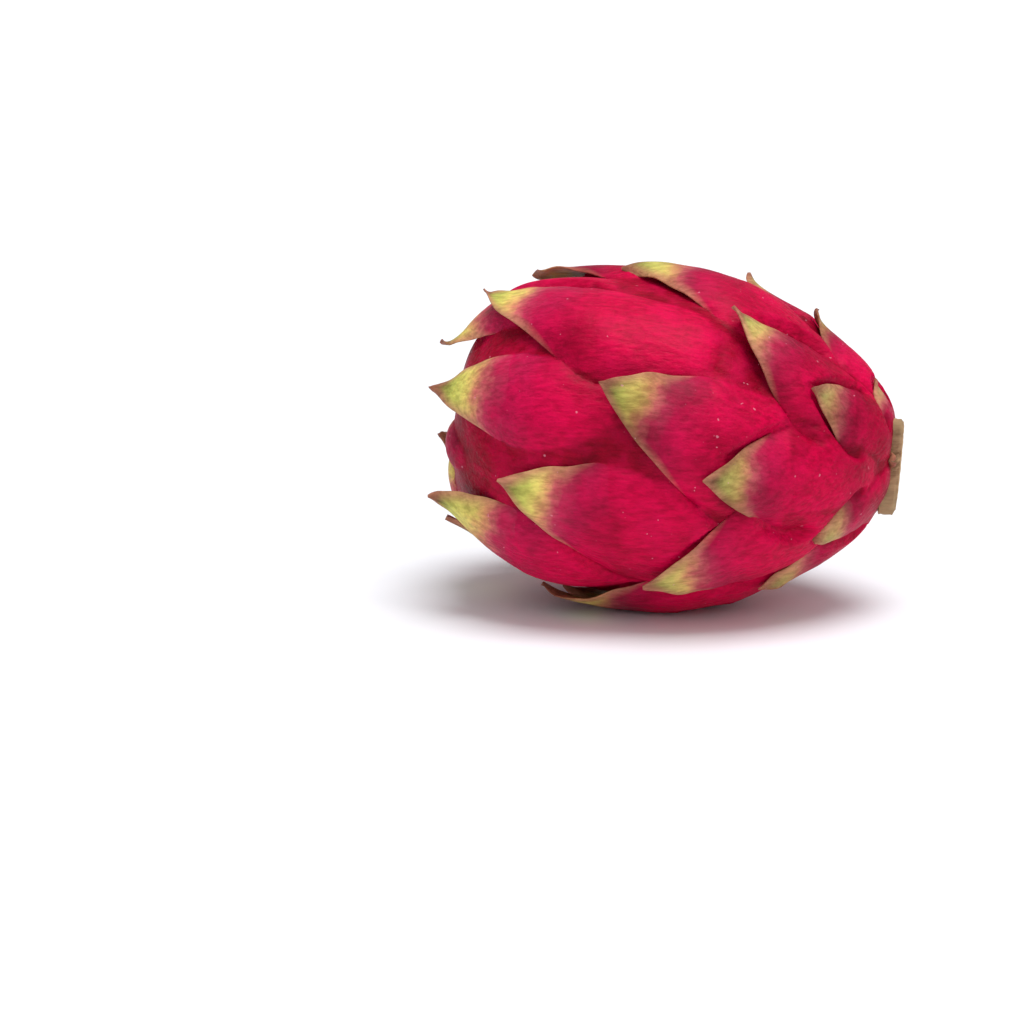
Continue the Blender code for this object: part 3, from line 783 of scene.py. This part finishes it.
    # Few peaks of this noise pass its threshold: pale specks here and there, partly wax specks and
    # partly painted glints of highlight.
    specks_and_glints = add_node(
        tree,
        "ShaderNodeTexNoise",
        {"Vector": place, "Scale": SPECKS_AND_GLINTS_PER_MM / MM, "Detail": 1.0, "Roughness": 0.4},
    )
    speck_and_glint_mask = add_node(
        tree,
        "ShaderNodeMapRange",
        {"Value": specks_and_glints.outputs["Fac"], "From Min": 0.775, "From Max": 0.80, "To Max": 0.42},
    )
    specked_and_glinted = add_node(
        tree,
        "ShaderNodeMix",
        {0: speck_and_glint_mask.outputs["Result"], 6: patched.outputs[2], 7: linear("#eba0b4")},
        data_type="RGBA",
    )
    tree.links.new(specked_and_glinted.outputs[2], shader.inputs["Base Color"])
    rough = add_node(
        tree,
        "ShaderNodeMapRange",
        {
            "Value": mottle.outputs["Fac"],
            "From Min": 0.3,
            "From Max": 0.7,
            "To Min": 0.34,
            "To Max": 0.55,
        },
    )
    tree.links.new(rough.outputs["Result"], shader.inputs["Roughness"])
    grain = add_node(
        tree,
        "ShaderNodeMath",
        {0: mottle.outputs["Fac"], 1: 1.2, 2: fibres.outputs["Fac"]},
        operation="MULTIPLY_ADD",
    )
    bump = add_node(
        tree, "ShaderNodeBump", {"Strength": 0.7, "Distance": 0.6 * MM, "Height": grain.outputs[0]}
    )
    tree.links.new(bump.outputs["Normal"], shader.inputs["Normal"])
    # The bloom scatters most of the skin's shine, and light goes a little way into the moist flesh,
    # the red furthest.
    shader.inputs["Specular IOR Level"].default_value = 0.05
    shader.inputs["Coat Weight"].default_value = 0.02
    shader.inputs["Coat Roughness"].default_value = 0.3
    shader.inputs["Subsurface Weight"].default_value = 0.05
    shader.inputs["Subsurface Radius"].default_value = (4.0 * MM, 0.6 * MM, 1.2 * MM)
    shader.inputs["Subsurface Scale"].default_value = 1.0
    return made


rind.data.materials.clear()
rind.data.materials.append(waxy_rind())
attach(rind, "root")
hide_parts("fruit")

# Cut stalk
# What is left of the three-ribbed cactus stem that the fruit was cut from, short, woody and dry,
# with a pale cut face round a darker pith. It grows out of the pit at the fruit's slimmer end.
STALK_CORE = 5.0 * MM
STALK_RIBS = {-85.0: 10.5 * MM, 62.0: 6.0 * MM, 170.0: 5.5 * MM}  # degrees round it: height
RIB_SPREAD = math.radians(24.0)
RIB_LENGTH = 5.6 * MM  # along the stalk, down to where the ribs sink into the rind
STALK_END = 54.9 * MM  # the cut face's place along the fruit's axis
STALK_DEPTH = 5.0 * MM  # how deep the stalk is rooted, from the bottom of the pit
WRINKLE_HEIGHT = 0.14 * MM
RIB_COLOURED = 7.0 * MM  # past the core, where the tinge of the ribs is full
STEM_FIBRES_PER_MM = 0.52
TURNED_AROUND = 144  # columns of a turned mesh


def turned_mesh(name, x, radius, zones):
    """A closed mesh along the fruit's axis from arrays of x and radius, a row for each ring and a
    column for each angle, with a point in the middle of its first and last ring."""
    turn = np.linspace(0, 2 * math.pi, TURNED_AROUND, endpoint=False)[None, :]
    places = lay_down(x + 0 * turn, radius + 0 * turn, turn)
    rows, columns = places.shape[:2]
    middles = places[[0, -1]].mean(axis=1)
    points = np.concatenate([places.reshape(-1, 3), middles])
    zones = np.broadcast_to(zones, (rows, columns, 4))
    zones = np.concatenate([zones.reshape(-1, 4), zones[[0, -1], 0]])
    first = np.arange(columns)
    last = first + (rows - 1) * columns
    middle = np.full(columns, rows * columns)
    fans = [
        np.stack([middle, np.roll(first, -1), first], axis=-1),
        np.stack([middle + 1, last, np.roll(last, -1)], axis=-1),
    ]
    faces = grid_faces(rows, columns, closed=True).tolist() + np.concatenate(fans).tolist()
    made = mesh_of(name, points, faces, zones)
    face_outwards(made)
    made.shade_smooth()
    made.set_sharp_from_angle(angle=math.radians(50))
    return made


def stalk_mesh():
    """The stalk's side and its cut face. The side's radius is a core's, plus three bell-shaped ribs
    that flare out past the pit, plus two fine waves for its wrinkles. The face is a low dome with
    ridges round it and a sunken pith."""
    turn = np.linspace(0, 2 * math.pi, TURNED_AROUND, endpoint=False)[None, :]
    ribs = np.zeros_like(turn)
    for degrees, height in STALK_RIBS.items():
        away = np.angle(np.exp(1j * (turn - math.radians(degrees))))
        ribs += height * np.exp(-((away / RIB_SPREAD) ** 2))
    root = OUTLINE_X[0] - STALK_DEPTH
    side = np.linspace(0, 1, 48)[:, None]
    side_x = root + side * (STALK_END - root)
    flare = smooth((side_x - STALK_END + RIB_LENGTH) / (1.4 * MM))
    wrinkles = np.sin(19 * turn + 2.0 * np.sin(side_x / (0.9 * MM)))
    wrinkles = wrinkles + 0.7 * np.sin(43 * turn + 1.5 * np.sin(side_x / (0.6 * MM) + 3 * turn))
    worn = 1 - 0.1 * smooth((side - 0.88) / 0.12)
    side_radius = (STALK_CORE + flare * ribs) * worn + WRINKLE_HEIGHT * wrinkles
    inward = np.linspace(0.97, 0.04, 22)[:, None]
    ridges = np.sin(9 * turn + 12 * inward) + np.sin(inward * 46 + 2 * np.sin(3 * turn))
    pith = np.exp(-((inward / 0.2) ** 2))
    face_x = STALK_END + (0.25 * (1 - inward**2) + 0.07 * ridges * (1 - pith) - 0.55 * pith) * MM
    face_radius = inward * side_radius[-1:]
    x = np.concatenate([side_x + 0 * turn, face_x + 0 * turn])
    radius = np.concatenate([side_radius, face_radius])
    on_face = np.concatenate([0 * side_radius, 1 + 0 * face_radius])
    out_on_rib = (radius / (STALK_CORE + RIB_COLOURED)).clip(0, 1)
    middle = np.concatenate([1 + 0 * side_radius, inward + 0 * turn])
    zones = np.stack([middle, on_face, out_on_rib, 1 + 0 * radius], axis=-1)
    return turned_mesh("stalk", x, radius, zones)


def dry_plant(name, streaks, dark, pale, tinge, cut_dark, cut_pale):
    """Dry plant tissue, matt, with streaks along the fruit between a dark and a pale colour, a tinge
    where it stands furthest out, and colours of its own on its cut face or inside. The streaks
    are given as so many to a millimetre."""
    made, tree, shader = new_material(name)
    zones = add_node(tree, "ShaderNodeVertexColor", layer_name="zones")
    split = add_node(tree, "ShaderNodeSeparateColor", {"Color": zones.outputs["Color"]})
    place = add_node(tree, "ShaderNodeTexCoord").outputs["Object"]
    mapping = add_node(tree, "ShaderNodeMapping", {"Vector": place, "Scale": (0.25, 1.0, 1.0)})
    noise = add_node(
        tree,
        "ShaderNodeTexNoise",
        {
            "Vector": mapping.outputs["Vector"],
            "Scale": streaks / MM,
            "Detail": 5.0,
            "Roughness": 0.65,
        },
    )
    bark = add_node(
        tree,
        "ShaderNodeValToRGB",
        {"Fac": noise.outputs["Fac"]},
        stops=[(0.32, dark), (0.64, pale)],
    )
    outer = add_node(
        tree,
        "ShaderNodeMapRange",
        {"Value": split.outputs["Blue"], "From Min": 0.45, "From Max": 0.9, "To Max": 0.6},
    )
    tinged = add_node(
        tree,
        "ShaderNodeMix",
        {0: outer.outputs["Result"], 6: bark.outputs["Color"], 7: linear(tinge)},
        data_type="RGBA",
    )
    from_pith = add_node(
        tree,
        "ShaderNodeMath",
        {0: noise.outputs["Fac"], 1: 0.4, 2: split.outputs["Red"]},
        operation="MULTIPLY_ADD",
    )
    cut = add_node(
        tree,
        "ShaderNodeValToRGB",
        {"Fac": from_pith.outputs[0]},
        stops=[(0.28, cut_dark), (0.45, cut_pale)],
    )
    colour = add_node(
        tree,
        "ShaderNodeMix",
        {0: split.outputs["Green"], 6: tinged.outputs[2], 7: cut.outputs["Color"]},
        data_type="RGBA",
    )
    tree.links.new(colour.outputs[2], shader.inputs["Base Color"])
    bump = add_node(
        tree,
        "ShaderNodeBump",
        {"Strength": 0.7, "Distance": 0.5 * MM, "Height": noise.outputs["Fac"]},
    )
    tree.links.new(bump.outputs["Normal"], shader.inputs["Normal"])
    shader.inputs["Roughness"].default_value = 0.8
    shader.inputs["Specular IOR Level"].default_value = 0.2
    return made


stalk = bpy.data.objects.new("cut_stalk", stalk_mesh())
bpy.context.scene.collection.objects.link(stalk)
# Sun-bleached bark, pale tan with a little green left on the ribs. Its fibres of 0.3 mm wouldn't
# show, so its brown streaks are drawn 1.9 mm wide, as bundles of them.
stalk.data.materials.append(
    dry_plant(
        "dry_cactus_stem",
        STEM_FIBRES_PER_MM,
        dark="#6b4a35",
        pale="#b5906c",
        tinge="#a38a66",
        cut_dark="#7a5636",
        cut_pale="#c4a27a",
    )
)
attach(stalk, "root")
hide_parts("stem_stub")

# Withered flower
# The neck of the flower, which dried on the fruit: a puckered brown tube of papery folds with a
# torn rim. It grew in the navel at the blunt end and is sunk in it.
SCAR_RADIUS = 4.2 * MM
SCAR_LENGTH = 4.5 * MM
SOCKET_DEPTH = 2.5 * MM  # how deep it sits in the rind
GAP = 0.3 * MM  # between its root and the bottom of that socket
PETAL_VEINS_PER_MM = 0.7


def flower_mesh():
    """The tube's outside up to its torn rim, and its inside down to its dark throat: length and
    radius run between stations, and cosine folds, 9 and 17 round, deepen towards the rim."""
    turn = np.linspace(0, 2 * math.pi, TURNED_AROUND, endpoint=False)[None, :]
    way = np.linspace(0, 1, 44)[:, None]
    stations = [0, 0.3, 0.5, 0.58, 0.64, 0.8, 1.0]
    out = np.interp(way, stations, [0, 0.45, 0.85, 1.0, 0.98, 0.55, 0.3])
    wide = np.interp(way, stations, [0.93, 0.84, 0.82, 0.9, 0.8, 0.5, 0.04])
    folds = np.cos(9 * turn + 1.2 * out) + 0.5 * np.cos(17 * turn + 3 * out + 1)
    torn = np.sin(5 * turn + 1) + 0.7 * np.sin(13 * turn) + 0.4 * np.sin(31 * turn + 2)
    root = OUTLINE_X[-1] + SOCKET_DEPTH - GAP
    near_rim = smooth((out - 0.55) / 0.45)
    x = root - SCAR_LENGTH * (out + 0.07 * torn * near_rim)
    radius = SCAR_RADIUS * wide * (1 + (0.05 + 0.09 * near_rim) * folds)
    inside = smooth((way - 0.6) / 0.1)
    zones = np.broadcast_arrays(1 - inside * (1 - out), inside, near_rim, 1.0 + 0 * turn)
    zones = np.stack(zones, axis=-1)
    return turned_mesh("flower", x, radius, zones)


flower = bpy.data.objects.new("withered_flower", flower_mesh())
bpy.context.scene.collection.objects.link(flower)
# Papery dead petals, nearly black in the folds and the throat and tan at the torn rim. Their veins
# of 0.2 mm wouldn't show, so they are drawn 1.4 mm wide.
flower.data.materials.append(
    dry_plant(
        "withered_petals",
        PETAL_VEINS_PER_MM,
        dark="#2f1d14",
        pale="#6d4b30",
        tinge="#a58358",
        cut_dark="#1d120c",
        cut_pale="#4a3020",
    )
)
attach(flower, "root")
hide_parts("flower_scar")

# Table
# A plain white table top, painted matt, so wide that its edge is out of sight. It isn't a piece of
# the part: it only carries the fruit and catches its shadow.
TABLE_REACH = 8.0
table_mesh = bpy.data.meshes.new("table")
table_corners = [(-1, -1, 0), (1, -1, 0), (1, 1, 0), (-1, 1, 0)]
table_corners = [(x * TABLE_REACH, y * TABLE_REACH, z) for x, y, z in table_corners]
table_mesh.from_pydata(table_corners, [], [(0, 1, 2, 3)])
table = bpy.data.objects.new("table", table_mesh)
bpy.context.scene.collection.objects.link(table)
white, _, white_shader = new_material("white_table")
white_shader.inputs["Base Color"].default_value = linear("#f1f3f8")
white_shader.inputs["Roughness"].default_value = 0.6
table_mesh.materials.append(white)

# Light
# A pale room with two broad soft lights: a strong one overhead, and a weaker one, twice as broad, in
# front and above.
world = bpy.data.worlds.new("pale_room")
world.use_nodes = True
world.node_tree.nodes["Background"].inputs["Color"].default_value = (1.0, 1.0, 1.0, 1.0)
world.node_tree.nodes["Background"].inputs["Strength"].default_value = 0.36
bpy.context.scene.world = world


def soft_light(name, comes_from, width, strength):
    """A soft light from a direction, so many degrees wide in the sky, the same at any distance."""
    lamp = bpy.data.lights.new(name, "SUN")
    lamp.energy = strength
    lamp.angle = math.radians(width)
    holder = bpy.data.objects.new(name, lamp)
    bpy.context.scene.collection.objects.link(holder)
    holder.rotation_euler = Vector(comes_from).to_track_quat("Z", "Y").to_euler()


soft_light("overhead_light", comes_from=(0.16, -0.1, 1.0), width=34, strength=2.6)
soft_light("front_light", comes_from=(0.3, -1.0, 1.0), width=70, strength=0.74)

# Camera
# It looks along the table from a little above, at the photograph's viewing angle, from so far off
# that the fruit shows at the photograph's scale, and puts its middle at the same place.
FRUIT_MIDDLE = Vector((0.0, 0.0, 43.0 * MM))
PHOTO_WIDTH_PX = 1024
PX_PER_MM = 3.95
FRUIT_PX = (659, 437)
LENS = 100.0  # in mm, as is the sensor's width
SENSOR = 36.0
ELEVATION = math.radians(13.0)
AZIMUTH = math.radians(8.0)
distance = LENS / SENSOR * PHOTO_WIDTH_PX / PX_PER_MM * MM
level = math.cos(ELEVATION)
toward = Vector((math.sin(AZIMUTH) * level, -math.cos(AZIMUTH) * level, math.sin(ELEVATION)))
turned = (-toward).to_track_quat("-Z", "Y")
right = turned @ Vector((1, 0, 0))
up = turned @ Vector((0, 1, 0))
off_right = (FRUIT_PX[0] - PHOTO_WIDTH_PX / 2) / PX_PER_MM * MM
off_up = (PHOTO_WIDTH_PX / 2 - FRUIT_PX[1]) / PX_PER_MM * MM
camera = bpy.data.cameras.new("camera")
camera.lens = LENS
camera.sensor_width = SENSOR
viewpoint = bpy.data.objects.new("camera", camera)
bpy.context.scene.collection.objects.link(viewpoint)
viewpoint.location = FRUIT_MIDDLE - right * off_right - up * off_up + toward * distance
viewpoint.rotation_euler = turned.to_euler()
bpy.context.scene.camera = viewpoint
# Colours are shown as they are, with no film curve over them.
bpy.context.scene.view_settings.view_transform = "Standard"
